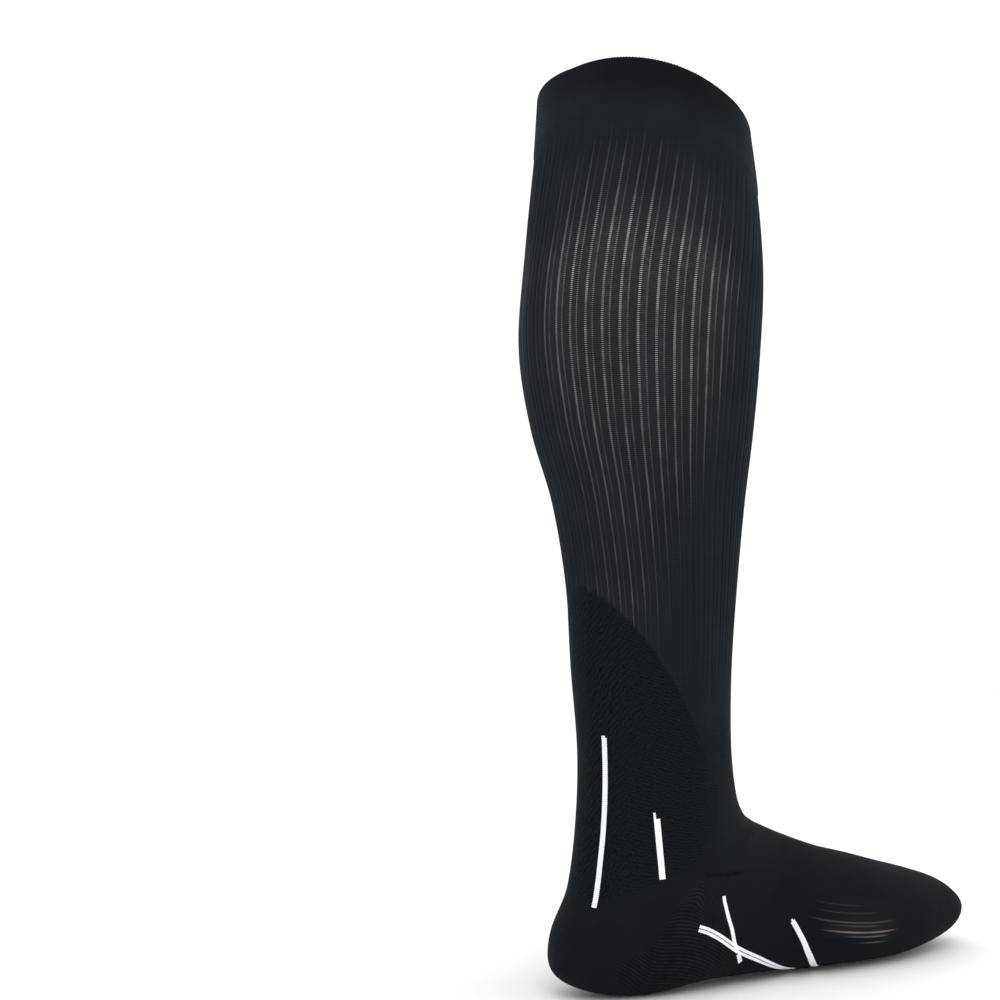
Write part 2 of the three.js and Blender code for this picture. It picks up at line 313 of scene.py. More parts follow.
# How much darker the hollows are, how far patterns stand out beside the stitches, and how strongly tints show
STITCH_SHADE, ROPE_SHADE, RIDGE_SHADE, CREASE_SHADE = 0.4, 0.55, 0.38, 0.75
ROPE_RELIEF, RIDGE_RELIEF = 1.4, 1.2
SHEER_GREY, RUNG_BRIGHTNESS, FOOT_GLOW = 0.65, 0.13, 0.55
NOISE_RANGE = (0.2, 0.8)  # about what values noise takes
STITCH_SLANT = 0.9
STITCH_ROUNDNESS = 1.6

# Steps along the sections and round the girth that are small enough to measure directions with
SMALL_PLACE = 0.01
SMALL_SHARE = 0.001


def smooth(value, start, end):
    """0 before start, 1 past end, and a soft rise between them."""
    share = np.clip((value - start) / (end - start), 0, 1)
    return share * share * (3 - 2 * share)


def unit(vectors):
    return vectors / np.maximum(np.linalg.norm(vectors, axis=-1, keepdims=True), 1e-12)


def columns(table):
    """The columns of numbers in a table whose rows start with a name."""
    return np.array([row[1:] for row in table], float).T


def curve_through(knots, at):
    """Points on a smooth curve through the knots, by number. The first and last knots only steer its ends."""
    index = np.clip(np.floor(at).astype(int), 0, len(knots) - 4)
    f = (at - index)[:, None]
    a, b, c, d = (knots[index + k] for k in range(4))
    rise = (c - a) * f + (2 * a - 5 * b + 4 * c - d) * f**2 + (3 * b - a - 3 * c + d) * f**3
    return b + rise / 2


class Form:
    """The smooth surface that every zone follows, by place along the sections and share of the girth."""

    FINE_STEPS = 720
    PLACE_STEP = 0.02
    SHARE_STEP = 0.004
    COURSE_SHARE = 0.63  # where round the girth the courses are counted
    COUNTING_STEPS = 1200

    def __init__(self, course_pitch):
        rows = columns(SECTIONS).T
        # The form's curve runs on through the tip to the toe end's section, with front and back swapped
        through_pole = rows[-2].copy()
        through_pole[:5] = rows[-2][[2, 3, 0, 1, 4]] * [1, 1, 1, 1, -1]
        self.knots = np.vstack([2 * rows[0] - rows[1], rows, through_pole])
        self.dense = np.linspace(0, LAST_TOE_ROW, self.COUNTING_STEPS)
        line = self.points(self.dense, np.array([self.COURSE_SHARE]))[:, 0]
        steps = np.linalg.norm(np.diff(line, axis=0), axis=1)
        self.courses = np.concatenate([[0], np.cumsum(steps)]) / course_pitch

    def fine_rings(self, places):
        """Closely spaced points round each section, in metres."""
        section = dict(zip(COLUMNS, curve_through(self.knots, places).T[:, :, None]))
        angle = np.linspace(0, 2 * np.pi, self.FINE_STEPS + 1)
        cosine, sine = np.cos(angle), np.sin(angle)
        roundness = 2 / np.where(cosine > 0, section["front_square"], section["sole_square"])
        forward = np.sign(cosine) * np.abs(cosine) ** roundness
        sideways = np.sign(sine) * np.abs(sine) ** roundness
        widest = section["widest"]
        to_back = 1 - widest - np.where(forward > 0, 1 - widest, widest) * forward
        lift = section["inner_lift"] * np.maximum(0, -forward) * np.maximum(0, sideways)
        y = section["front_y"] + (section["back_y"] - section["front_y"]) * to_back
        z = section["front_z"] + (section["back_z"] - section["front_z"]) * to_back + lift
        z = (z + np.hypot(z, FLOOR_SOFTNESS)) / 2
        x = section["shift"] + section["half_width"] * sideways
        return (np.stack([x, y, z], axis=-1) - WELT_CENTRE) * MM

    def points(self, places, shares):
        """Points at places by shares of the girth, spread evenly by length round each section."""
        fine = self.fine_rings(places)
        steps = np.linalg.norm(np.diff(fine, axis=1), axis=2)
        reached = np.concatenate([np.zeros((len(places), 1)), np.cumsum(steps, axis=1)], axis=1)
        reached /= reached[:, -1:]
        shares = np.broadcast_to(shares, (len(places), np.shape(shares)[-1])) % 1.0
        out = np.empty(shares.shape + (3,))
        for row, (ring, along) in enumerate(zip(fine, reached)):
            for axis in range(3):
                out[row, :, axis] = np.interp(shares[row], along, ring[:, axis])
        return out

    def frames(self, places, shares):
        """Points, outward normals, and the way along the tube."""
        point = self.points(places, shares)
        after = self.points(np.minimum(places + self.PLACE_STEP, TIP - self.PLACE_STEP), shares)
        before = self.points(np.maximum(places - self.PLACE_STEP, 0), shares)
        right = self.points(places, shares + self.SHARE_STEP)
        left = self.points(places, shares - self.SHARE_STEP)
        round_way = unit(right - left)
        normal = unit(np.cross(after - before, round_way))
        return point, normal, np.cross(round_way, normal)

    def course_of(self, places):
        return np.interp(places, self.dense, self.courses)


def height_of(point):
    """Heights above the floor, in millimetres."""
    return point[..., 2] / MM + WELT_CENTRE[2]


def pad_strength(places, shares, height):
    """1 on the dense pad behind the ankle and heel, and 0 off it."""
    down = np.clip((PAD_TOP - height) / (PAD_TOP - PAD_LOW), 0, 1)
    narrowing, start, end = PAD_NARROWING
    spread = PAD_LOW_SPREAD * down**PAD_SPREAD_POWER * (1 - narrowing * smooth(places, start, end))
    inside = 1 - smooth(np.abs(shares % 1.0 - PAD_CENTRE), spread - PAD_HALF_EDGE, spread + PAD_HALF_EDGE)
    return np.where(down > 0, inside, 0) * (1 - smooth(places, *PAD_END))


def rib_turn(places):
    """How far round the ribs have turned at each place, as a share of the girth."""
    at_top, *top_stretch = TURN_UNDER_WELT
    at_ankle, *ankle_stretch = TURN_TO_ANKLE
    pitches = at_top * (1 - smooth(places, *top_stretch)) + at_ankle * smooth(places, *ankle_stretch)
    return pitches / RIB_COUNT


def from_back(shares):
    """How far shares of the girth lie from the middle of the back and sole, on either side."""
    return np.abs(shares % 1.0 - 0.5)


def sheer_strength(places, shares, height):
    """How clearly the lines show. The knit stretches most on the calf's two heads, and least at the shin."""
    by_height, by_place, ends = map(columns, (SHEER_BY_HEIGHT, SHEER_BY_PLACE, SHEER_ENDS))
    round_way = np.abs(shares % 1.0 - PAD_CENTRE)
    delay = np.minimum(SHEER_DELAY * (round_way - SHEER_HEAD) ** 2, LONGEST_DELAY)
    fading, gone, strip = (np.interp(height, ends[0], column) for column in ends[1:])
    middle, loss = QUIET_STRIP
    quiet = 1 - loss * np.exp(-(((shares % 1.0 - middle) / strip) ** 2))
    strength = np.interp(height, *by_height) * np.interp(places - delay, *by_place)
    return strength * quiet * (1 - smooth(round_way, fading, gone))


def walk(path, steps):
    """Places and shares along a smooth path through a few points."""
    path = np.array(path)
    knots = np.vstack([2 * path[0] - path[1], path, 2 * path[-1] - path[-2]])
    return curve_through(knots, np.linspace(0, len(path) - 1, steps)).T


def crease_relief(form, point):
    """How far the soft troughs press the cloth in, in metres, and how much they shade it, at each point."""
    relief = np.zeros(point.shape[:-1])
    flat = point.reshape(-1, 3)
    for _, depth, half_width, path in CREASES:
        places, shares = walk(path, CREASE_STEPS + 1)
        line = form.points(places, shares[:, None])[:, 0]
        distance = np.linalg.norm(flat[:, None] - line, axis=2)
        nearest = distance.argmin(1)
        fade = np.sin(np.pi * (CREASE_END + (1 - 2 * CREASE_END) * nearest / CREASE_STEPS))
        trough = depth * fade * np.exp(-((distance.min(1) / (half_width * MM)) ** 2))
        relief -= trough.reshape(relief.shape) * MM
    return relief, np.minimum(-relief / FULL_SHADE_DEPTH, 1)


class Patchwork:
    """Points and faces gathered into one mesh, with the knit's coordinates at each corner."""

    KNIT_MAP = "knit"

    def __init__(self):
        self.points = []
        self.faces = []
        self.knit = []
        self.sharp_faces = []

    def add_points(self, points):
        """Adds points and gives their numbers, in the same rows."""
        start = sum(map(len, self.points))
        self.points.append(points.reshape(-1, 3))
        return start + np.arange(len(self.points[-1])).reshape(points.shape[:-1])

    def add_faces(self, corners, shares, courses):
        """Adds faces, with the share of the girth and the course at each of their corners."""
        self.faces.extend(corners.tolist())
        ribs = shares * RIB_COUNT - RIB_START
        self.knit.append(np.stack([ribs, np.broadcast_to(courses, ribs.shape)], -1).reshape(-1, 2))

    def add_tube(self, numbers, shares, courses, inward=False):
        """Four-sided faces between the rings of a tube."""
        rows, count = numbers.shape
        row, col = (part.ravel() for part in np.indices((rows - 1, count)))
        corner_rows = np.stack([row, row + 1, row + 1, row], -1)
        corner_cols = np.stack([col, col, col + 1, col + 1], -1)
        if inward:
            corner_rows, corner_cols = corner_rows[:, ::-1], corner_cols[:, ::-1]
        across = np.append(shares, shares[0] + 1)
        self.add_faces(numbers[corner_rows, corner_cols % count], across[corner_cols], courses[corner_rows])

    def add_rim(self, outer, inner, shares, course, upper=False, flat=False):
        """Triangles between a ring of points and one with as many or fewer. A flat rim is shaded apart."""
        each = len(outer) // len(inner)
        index = np.arange(len(outer))
        after = (index + 1) % len(outer)
        last = index % each == each - 1
        held = index // each
        following = (held + 1) % len(inner)
        fan = np.stack([outer[index], outer[after], inner[held]], -1)
        closing = np.stack([outer[after], inner[following], inner[held]], -1)[last]
        corners = np.concatenate([fan, closing])
        if not upper:
            corners = corners[:, ::-1]
        if flat:
            self.sharp_faces += range(len(self.faces), len(self.faces) + len(corners))
        at = np.repeat(np.concatenate([shares, shares[last]])[:, None], 3, axis=1)
        self.add_faces(corners, at, course)

    def add_pole(self, ring, points, shares, course, inward=False):
        """Closes a tube with triangles from its last ring to the middle of that ring's points."""
        pole = self.add_points(points.mean(0)[None])[0]
        corners = np.stack([np.roll(ring, -1), ring, np.full(len(ring), pole)], -1)
        if inward:
            corners = corners[:, ::-1]
        self.add_faces(corners, np.repeat(shares[:, None], 3, axis=1), course)

    def mesh(self, name, strengths):
        """The finished mesh. strengths are values by name for the first points added."""
        mesh = bpy.data.meshes.new(name)
        mesh.from_pydata(np.concatenate(self.points).tolist(), [], self.faces)
        mesh.polygons.foreach_set("use_smooth", np.ones(len(self.faces), bool))
        layer = mesh.uv_layers.new(name=self.KNIT_MAP, do_init=False)
        layer.uv.foreach_set("vector", np.concatenate(self.knit).astype(np.float32).ravel())
        for strength_name, values in strengths.items():
            padded = np.zeros(len(mesh.vertices), np.float32)
            padded[: values.size] = values.ravel()
            mesh.attributes.new(strength_name, "FLOAT", "POINT").data.foreach_set("value", padded)
        if self.sharp_faces:
            self.sharpen(mesh)
        mesh.validate()
        return mesh

    def sharpen(self, mesh):
        """Keeps a wall's flat ends from bending the shading beside them, so that the zones join unseen."""
        flags = np.zeros(len(mesh.edges), bool)
        for face in self.sharp_faces:
            for corner in mesh.polygons[face].loop_indices:
                flags[mesh.loops[corner].edge_index] = True
        mesh.attributes.new("sharp_edge", "BOOLEAN", "EDGE").data.foreach_set("value", flags)


class Wall:
    """A closed knitted wall: an outer and an inner tube of points, joined at both ends."""

    def __init__(self, form, places, shares, inner_every=4, turn=0.0):
        """shares are those of the knit's columns, and turn is how far round they have moved at each place."""
        self.form = form
        self.places = np.asarray(places, float)
        self.shares = np.asarray(shares, float)
        self.inner_shares = self.shares[::inner_every]
        self.turn = np.zeros((len(self.places), 1)) + np.reshape(turn, (-1, 1))
        self.at = self.shares + self.turn
        self.point, self.normal, self.along = form.frames(self.places, self.at)
        self.relief = np.zeros(self.point.shape[:2])
        self.strengths = {}

    def fade_between(self, start, end):
        """The yarn fades into the next zone's between two places."""
        blend = smooth(self.places, start, end)[:, None]
        self.strengths["blend"] = np.broadcast_to(blend, self.relief.shape)

    def build(self, name, wall, proud, fold=None, closed=False):
        """The object. wall and proud are in metres, and fold is how far a round top rises at each share."""
        courses = self.form.course_of(self.places)
        inner_point, inner_normal, _ = self.form.frames(self.places, self.inner_shares + self.turn)
        inner_point = inner_point + inner_normal * (proud - wall)
        outer_point = self.point + self.normal * (proud + self.relief)[..., None]
        work = Patchwork()
        outer, inner = work.add_points(outer_point), work.add_points(inner_point)
        work.add_tube(outer, self.shares, courses)
        work.add_tube(inner, self.inner_shares, courses, inward=True)
        if fold is None:
            work.add_rim(outer[0], inner[0], self.shares, courses[0], upper=True, flat=True)
        else:
            top = self.point[0] + self.normal[0] * (proud - wall / 2) - self.along[0] * fold[:, None]
            ridge = work.add_points(top)
            work.add_rim(outer[0], ridge, self.shares, courses[0], upper=True)
            work.add_rim(ridge, inner[0], self.shares, courses[0], upper=True)
        if closed:
            work.add_pole(outer[-1], outer_point[-1], self.shares, courses[-1])
            work.add_pole(inner[-1], inner_point[-1], self.inner_shares, courses[-1], inward=True)
        else:
            work.add_rim(outer[-1], inner[-1], self.shares, courses[-1], flat=True)
        piece = bpy.data.objects.new(name, work.mesh(name, self.strengths))
        bpy.context.scene.collection.objects.link(piece)
        return piece


def maths_operator(operation, reflected=False):
    """The method of Wire that stands for one of Python's operators."""

    def apply(wire, other):
        values = (other, wire) if reflected else (wire, other)
        return wire.shader.maths(operation, *values)

    return apply


class Wire:
    """A socket of a shader tree. Shader maths is written with it as Python expressions."""

    def __init__(self, shader, socket):
        self.shader = shader
        self.socket = socket

    __add__ = maths_operator("ADD")
    __radd__ = maths_operator("ADD", reflected=True)
    __sub__ = maths_operator("SUBTRACT")
    __rsub__ = maths_operator("SUBTRACT", reflected=True)
    __mul__ = maths_operator("MULTIPLY")
    __rmul__ = maths_operator("MULTIPLY", reflected=True)

    def __abs__(self):
        return self.shader.maths("ABSOLUTE", self)

    def wave(self):
        """A sine wave with one turn for each whole number."""
        return self.shader.maths("SINE", self * (2 * math.pi))

    def off_centre(self, centre=0.0):
        """How far this is from the nearest whole number past centre, from 0 to 0.5."""
        return abs(self.shader.maths("FRACT", self - (centre - 0.5)) - 0.5)

    def rise(self, start, end, low=0.0, high=1.0):
        """low before start, high past end, and a soft step between."""
        return self.shader.node(
            "ShaderNodeMapRange",
            {"interpolation_type": "SMOOTHSTEP"},
            {"Value": self, "From Min": start, "From Max": end, "To Min": low, "To Max": high},
        )

    def fall(self, start, end, high=1.0, low=0.0):
        """high before start, low past end, and a soft step between."""
        return self.rise(start, end, high, low)


class Shader:
    """One material, whose nodes are added by expressions."""

    def __init__(self, name):
        self.material = bpy.data.materials.new(name)
        self.material.use_nodes = True
        self.tree = self.material.node_tree
        self.surface = self.tree.nodes["Principled BSDF"]

    def node(self, kind, settings=None, sockets=None, output=0):
        """Adds a node: its type, its settings, and the values or wires of its sockets."""
        added = self.tree.nodes.new(kind)
        for name, value in (settings or {}).items():
            setattr(added, name, value)
        for key, value in (sockets or {}).items():
            self.feed(added.inputs[key], value)
        return Wire(self, added.outputs[output])

    def maths(self, operation, *values):
        return self.node("ShaderNodeMath", {"operation": operation}, dict(enumerate(values)))

    def feed(self, socket, value):
        if isinstance(value, Wire):
            self.tree.links.new(value.socket, socket)
        else:
            socket.default_value = value

    def set(self, **values):
        """Values and wires of the surface's sockets, named with underscores."""
        for name, value in values.items():
            key = " ".join(word if word == "IOR" else word.capitalize() for word in name.split("_"))
            self.feed(self.surface.inputs[key], value)

    def strength(self, name):
        return self.node("ShaderNodeAttribute", {"attribute_name": name}, output="Fac")

    def noise(self, scale, detail, stretch=None):
        """Noise in the frame's own space, from about 0.2 to 0.8."""
        place = self.node("ShaderNodeTexCoord", output="Object")
        if stretch is not None:
            place = self.node("ShaderNodeVectorMath", {"operation": "MULTIPLY"}, {0: place, 1: stretch})
        return self.node("ShaderNodeTexNoise", sockets={"Vector": place, "Scale": scale, "Detail": detail})

    def uneven(self, pattern):
        """How strongly an uneven pattern shows."""
        scale, detail, stretch, *change = UNEVEN[pattern]
        return self.noise(scale, detail, stretch).rise(*change)

    def mix(self, share, first, second):
        sockets = {0: share, 6: first, 7: second}
        return self.node("ShaderNodeMix", {"data_type": "RGBA"}, sockets, output=2)

    def darker(self, tone, share):
        return self.mix(share, tone, BLACK)

    def bump(self, height, distance):
        return self.node("ShaderNodeBump", sockets={"Height": height, "Distance": distance})


def colour(values):
    return (*values, 1.0)


BLACK = colour((0.0, 0.0, 0.0))


class KnitShader(Shader):
    """Black knit that fades towards the next zone's. Each layer changes its tone and its raised pattern."""

    # Noises, by scale and detail
    WOBBLE_NOISE = (330, 3)
    PAD_NOISE = (90, 1)
    FIBRE_NOISE = (1500, 1)

    # Heights of a pattern between which a hollow lightens, and strengths between which a layer sets in
    RAISED_STITCHES = (0.1, 0.9)
    RAISED_ROPES = (0.15, 0.85)
    PAD_SETS_IN = (0.2, 1.0)
    GROOVES_OPEN = (0.05, 0.5)
    RUNGS_SET_IN = (0.2, 1.0)

    RIDGE_WIDTH = (0.03, 0.36)  # how far from its middle a ridge is full and gone, of their pitch
    STEEP_LOSS = 0.8  # how far the steep ropes give way beside the back
    RUNG_ELSEWHERE = 0.5  # how clearly rungs show outside the narrow ribs
    STITCHES_UNDER_RIDGES = 0.6  # how far the ridges hide the stitches
    ROUGHNESS_SPREAD = (-0.08, 0.06)

    def __init__(self, name, yarn, base, towards):
        super().__init__(name)
        self.yarn = yarn
        both = self.node("ShaderNodeUVMap", {"uv_map": Patchwork.KNIT_MAP})
        self.rib = self.node("ShaderNodeSeparateXYZ", sockets={0: both})
        self.course = Wire(self, self.rib.socket.node.outputs[1])
        self.height = self.stitches()
        self.tone = self.mix(self.strength("blend"), colour(base), colour(towards))
        self.cover(self.uneven("cloudy yarn"), BLACK)
        self.shade_hollows(self.height.rise(*self.RAISED_STITCHES), STITCH_SHADE)

    def stitches(self):
        """The height of plain knit: a column of V stitches for each wale."""
        across = (self.rib * WALES_PER_RIB).off_centre(0.5)
        legs = (self.course + across * STITCH_SLANT).wave()
        apart = across * 2 - 0.5
        return legs * 0.5 + 0.5 - apart * apart * STITCH_ROUNDNESS

    def cover(self, share, tone):
        """Lays a tone over the knit's."""
        self.tone = self.mix(share, self.tone, tone)

    def shade_hollows(self, raised, shade):
        """Darkens what isn't raised."""
        self.tone = self.mix(raised, self.darker(self.tone, shade), self.tone)

    def pad(self):
        """Adds the dense pad: steep ropes of stitches along the back, and flatter ones at its sides."""
        pad = self.strength("pad")
        wobble = self.noise(*self.WOBBLE_NOISE) * ROPE_WOBBLE
        steep, flat = (
            (self.rib * per_rib + self.course * per_course + wobble).wave()
            for _, per_rib, per_course in ROPES
        )
        from_middle = abs(self.rib * (1 / RIB_COUNT) - PAD_CENTRE)
        beside = (from_middle + self.noise(*self.PAD_NOISE) * 0.1 - 0.05).rise(*PAD_SIDES)
        ropes = steep * (1 - beside * self.STEEP_LOSS) + flat * beside
        ropes = ropes * self.uneven("broken ropes") * 0.5 + 0.5
        tone = self.mix(self.uneven("blue patches"), colour(self.yarn.pad), colour(self.yarn.pad_patch))
        tone = self.mix(ropes.rise(*self.RAISED_ROPES), self.darker(tone, ROPE_SHADE), tone)
        self.cover(pad.rise(*self.PAD_SETS_IN), tone)
        self.height = self.height * (1 - pad) + ropes * pad * ROPE_RELIEF
        return self

    def sheer(self):
        """Adds the pale floats of the ribs: beads in the grooves, and faint rungs across the narrow ribs."""
        sheer = self.strength("sheer")
        stretched = sheer.rise(*self.GROOVES_OPEN)
        main, second = (
            (self.rib.off_centre(centre) - stretched * opening).fall(full, gone, brightness)
            for _, centre, full, gone, opening, brightness in THREADS
        )
        beads = (main + second) * self.course.off_centre().fall(*BEAD_LENGTH) * self.uneven("floats")
        rungs = self.course.off_centre().fall(*RUNG_LENGTH) * self.uneven("patches of rungs")
        narrow = self.rib.off_centre(SECOND_GROOVE / 2).fall(*RUNG_WIDTH, low=self.RUNG_ELSEWHERE)
        rungs = rungs * narrow * self.uneven("broken rungs") * sheer.rise(*self.RUNGS_SET_IN)
        self.cover(sheer * SHEER_GREY, colour(self.yarn.sheer))
        self.cover(rungs * RUNG_BRIGHTNESS, colour(self.yarn.float_thread))
        self.cover(beads * sheer, colour(self.yarn.float_thread))
        return self

    def turn(self):
        """Adds the ridges of the courses that fan out over the heel's sides."""
        turn = self.strength("turn")
        ridge = self.strength("fan").off_centre().fall(*self.RIDGE_WIDTH)
        # The ridges' grey is a painted highlight on their crests, and the hollows between them get painted
        # shade
        hollow = self.darker(self.tone, RIDGE_SHADE)
        self.cover(turn, self.mix(ridge * self.uneven("broken ridges"), hollow, colour(self.yarn.turn)))
        self.height = self.height * (1 - turn * self.STITCHES_UNDER_RIDGES) + ridge * turn * RIDGE_RELIEF
        return self

    def ball(self, form):
        """Adds pale lines where the knit thins over the ball of the foot, with a faint warm glow."""
        arc = self.strength("arc")
        lines = []
        for _, share, start, end, brightness in BALL_LINES:
            ends = form.course_of(np.array([start, start, end, end]) + LINE_FADES)
            first, early, late, last = ends.tolist()
            line = abs(arc - share).fall(*LINE_WIDTH, brightness)
            lines.append(line * self.course.rise(first, early) * self.course.fall(late, last))
        shown = sum(lines[1:], lines[0]) * self.uneven("streaks") * self.strength("side")
        self.cover(self.strength("sheer") * FOOT_GLOW, colour(self.yarn.sheer_foot))
        self.cover(shown, colour(self.yarn.streak))
        return self

    def creases(self):
        """Darkens the cloth at the bottom of a crease, where it lies in its own shade."""
        self.cover(self.strength("crease") * CREASE_SHADE, BLACK)
        return self

    def finish(self, sheen=1.0):
        """The material. sheen is a share of the yarn's own."""
        yarn = self.yarn
        least, most = (yarn.roughness + change for change in self.ROUGHNESS_SPREAD)
        self.set(
            base_color=self.tone,
            roughness=self.noise(*self.FIBRE_NOISE).rise(*NOISE_RANGE, least, most),
            normal=self.bump(self.height, yarn.stitch_relief),
            specular_IOR_level=yarn.specular,
            sheen_weight=yarn.sheen * sheen,
            sheen_roughness=0.4,
            sheen_tint=colour(yarn.sheen_tint),
        )
        return self.material


def white_shader(yarn):
    """White yarn of the strokes, slightly fuzzy."""
    shader = Shader("white yarn")
    fibre = shader.noise(2600, 2)
    shader.set(
        base_color=shader.mix(fibre, colour([part * 0.94 for part in yarn.white]), colour(yarn.white)),
        roughness=fibre.rise(*NOISE_RANGE, 0.62, 0.8),
        normal=shader.bump(fibre, 0.06 * MM),
        specular_IOR_level=0.3,
        sheen_weight=0.15,
    )
    return shader.material


def length_setting(name, description, default):
    return FloatProperty(name=name, description=description, default=default, subtype="DISTANCE")


def share_setting(name, description, default):
    return FloatProperty(name=name, description=description, default=default, subtype="FACTOR")


def colour_setting(name, description, default):
    return FloatVectorProperty(name=name, description=description, default=default, subtype="COLOR")


class StockingSizes(bpy.types.PropertyGroup):
    """Sizes of the knit that a user may change."""

    groove_depth: length_setting("Groove depth", "Depth of the main grooves between ribs", 0.32 * MM)
    second_depth: length_setting("Second groove", "Depth of the shallower grooves", 0.2 * MM)
    crown_height: length_setting("Rib crown", "How far the ribs round up between grooves", 0.1 * MM)
    pad_height: length_setting("Pad height", "How far the dense pad stands out", 0.2 * MM)
    course_pitch: length_setting("Course pitch", "Distance from one knitted row to the next", 0.95 * MM)
    picots: IntProperty(name="Picots", description="Small loops round the top edge", default=216, min=24)
    picot_rise: length_setting("Picot rise", "How far each small loop stands up", 0.4 * MM)
    relaxed_girth: share_setting("Relaxed girth", "Girth of the cloth off the leg, of that worn", 0.8)
    relaxed_length: share_setting("Relaxed length", "Length of the cloth off the leg, of that worn", 0.96)


class YarnLooks(bpy.types.PropertyGroup):
    """Colours and finish of the yarns."""

    leg: colour_setting("Leg", "Black of the ribs", (0.0144, 0.018, 0.022))
    plain: colour_setting("Plain knit", "Black of the welt and foot", (0.0084, 0.0095, 0.0123))
    heel: colour_setting("Heel", "Black of the heel", (0.0099, 0.0118, 0.0146))
    toe: colour_setting("Toe", "Black of the toe", (0.0071, 0.0083, 0.0107))
    pad: colour_setting("Pad", "Black of the pad behind the ankle", (0.0078, 0.0103, 0.0121))
    pad_patch: colour_setting("Pad patches", "Bluer black in the pad", (0.0077, 0.0098, 0.0143))
    sheer: colour_setting("Sheer knit", "Grey of the thinly stretched knit", (0.0245, 0.0232, 0.0255))
    sheer_foot: colour_setting("Sheer foot", "Warm grey of the foot's thin knit", (0.0195, 0.0172, 0.0178))
    # Painted highlight: the heel ridges' grey stands for light on their crests
    turn: colour_setting("Heel ridges", "Grey of the ridges at the heel's turn", (0.0125, 0.0128, 0.0158))
    float_thread: colour_setting("Floats", "Pale threads in the grooves", (0.8, 0.79, 0.8))
    streak: colour_setting("Streaks", "Pale lines on the ball of the foot", (0.22, 0.19, 0.18))
    white: colour_setting("White", "White yarn", (0.95, 0.97, 1.0))
    sheen_tint: colour_setting("Sheen tint", "Colour of the sheen at the edges", (0.55, 0.8, 0.9))
    sheen: share_setting("Sheen", "Strength of the sheen", 0.018)
    specular: share_setting("Shine", "Strength of reflections", 0.02)
    roughness: share_setting("Roughness", "Roughness of the knit", 0.75)
    stitch_relief: length_setting("Stitch relief", "Height of the stitches", 0.09 * MM)


class StudioSettings(bpy.types.PropertyGroup):
    """The camera, floor and lights."""

    camera_place: FloatVectorProperty(
        name="Camera",
        description="Where the camera stands",
        default=(-0.580, 0.5345, -0.251),
        subtype="TRANSLATION",
    )
    azimuth: FloatProperty(name="Azimuth", description="Turn of the view from +Y, in degrees", default=-127.4)
    elevation: FloatProperty(name="Elevation", description="Upward tilt of the view, in degrees", default=5.5)
    lens: FloatProperty(name="Lens", description="Focal length on a 36 mm wide sensor", default=57.6)
    floor_tone: share_setting("Floor", "Paleness of the floor", 0.94)
    sky: FloatProperty(name="Surround", description="Strength of the even white surround", default=1.08)
    key: FloatProperty(name="Key", description="Power of the key light", default=9.0, subtype="POWER")
    fill: FloatProperty(name="Fill", description="Power of the fill light", default=5.0, subtype="POWER")


class Knitting:
    """What every knitted piece needs: the settings, the form and its own zone."""

    MEASURED_ROWS = 39
    MEASURED_COLUMNS = 200

    def __init__(self, scene, node):
        self.scene = scene
        self.node = node
        self.sizes = scene.stocking_sizes
        self.yarn = scene.yarn_looks
        self.form = Form(self.sizes.course_pitch)
        self.start, self.end = ZONES[node][:2]
        self.wall, self.proud = (size * MM for size in ZONES[node][2:])

    def rows(self, count):
        return np.linspace(self.start, self.end, count + 1)

    def finish(self, tube, material, slot, strokes=False, **ends):
        """Builds the piece in its node's place, with its white strokes."""
        piece = tube.build(self.node + "_knit", self.wall, self.proud, **ends)
        piece.data.materials.append(material)
        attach(piece, "root")
        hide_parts(self.node)
        self.declare_sheet([knit_strokes(self)] if strokes else ())

    def declare_sheet(self, with_pieces):
        """Finds points on rings round the knitted tube's form, and does nothing more with them."""
        rings = self.form.points(self.rows(self.MEASURED_ROWS), even_shares(self.MEASURED_COLUMNS))


def even_shares(count):
    return np.arange(count) / count


class STOCKING_OT_welt(bpy.types.Operator):
    """Knit the turned welt, with small loops along its top edge"""

    bl_idname = "stocking.welt"
    bl_label = "Welt"

    ROWS = 26
    POINTS_PER_LOOP = 3
    FADE_START = 0.3
    FOLD_HEIGHT = 0.9 * MM
    LOWER_EDGE = (0.93, 1.0)  # the share of the welt's height over which its lower edge rounds over
    LOOP_BULGE = ((0.5,), (0.15,))  # how far the loops bulge in the first two rows, of their rise
    BULGE_MIDDLE, RISE_MIDDLE = 0.6, 0.5  # the share of a loop's height that lies level with the knit

    def execute(self, context):
        job = Knitting(context.scene, "welt")
        picots, rise = job.sizes.picots, job.sizes.picot_rise
        shares = even_shares(picots * self.POINTS_PER_LOOP)
        tube = Wall(job.form, job.rows(self.ROWS), shares, inner_every=6)
        # The lower edge rounds over to the leg, and the upper one to the fold
        down = (tube.places - job.start) / (job.end - job.start)
        tube.relief += (-job.proud * smooth(down, *self.LOWER_EDGE) ** 2)[:, None]
        loops = np.abs(np.cos(np.pi * tube.shares * picots))
        tube.relief[:2] += (loops - self.BULGE_MIDDLE) * rise * np.array(self.LOOP_BULGE)
        tube.fade_between(self.FADE_START, job.end)
        material = KnitShader("welt knit", job.yarn, job.yarn.plain, job.yarn.leg).finish(sheen=1.8)
        job.finish(tube, material, "plain_knit", fold=self.FOLD_HEIGHT + rise * (loops - self.RISE_MIDDLE))
        return {"FINISHED"}


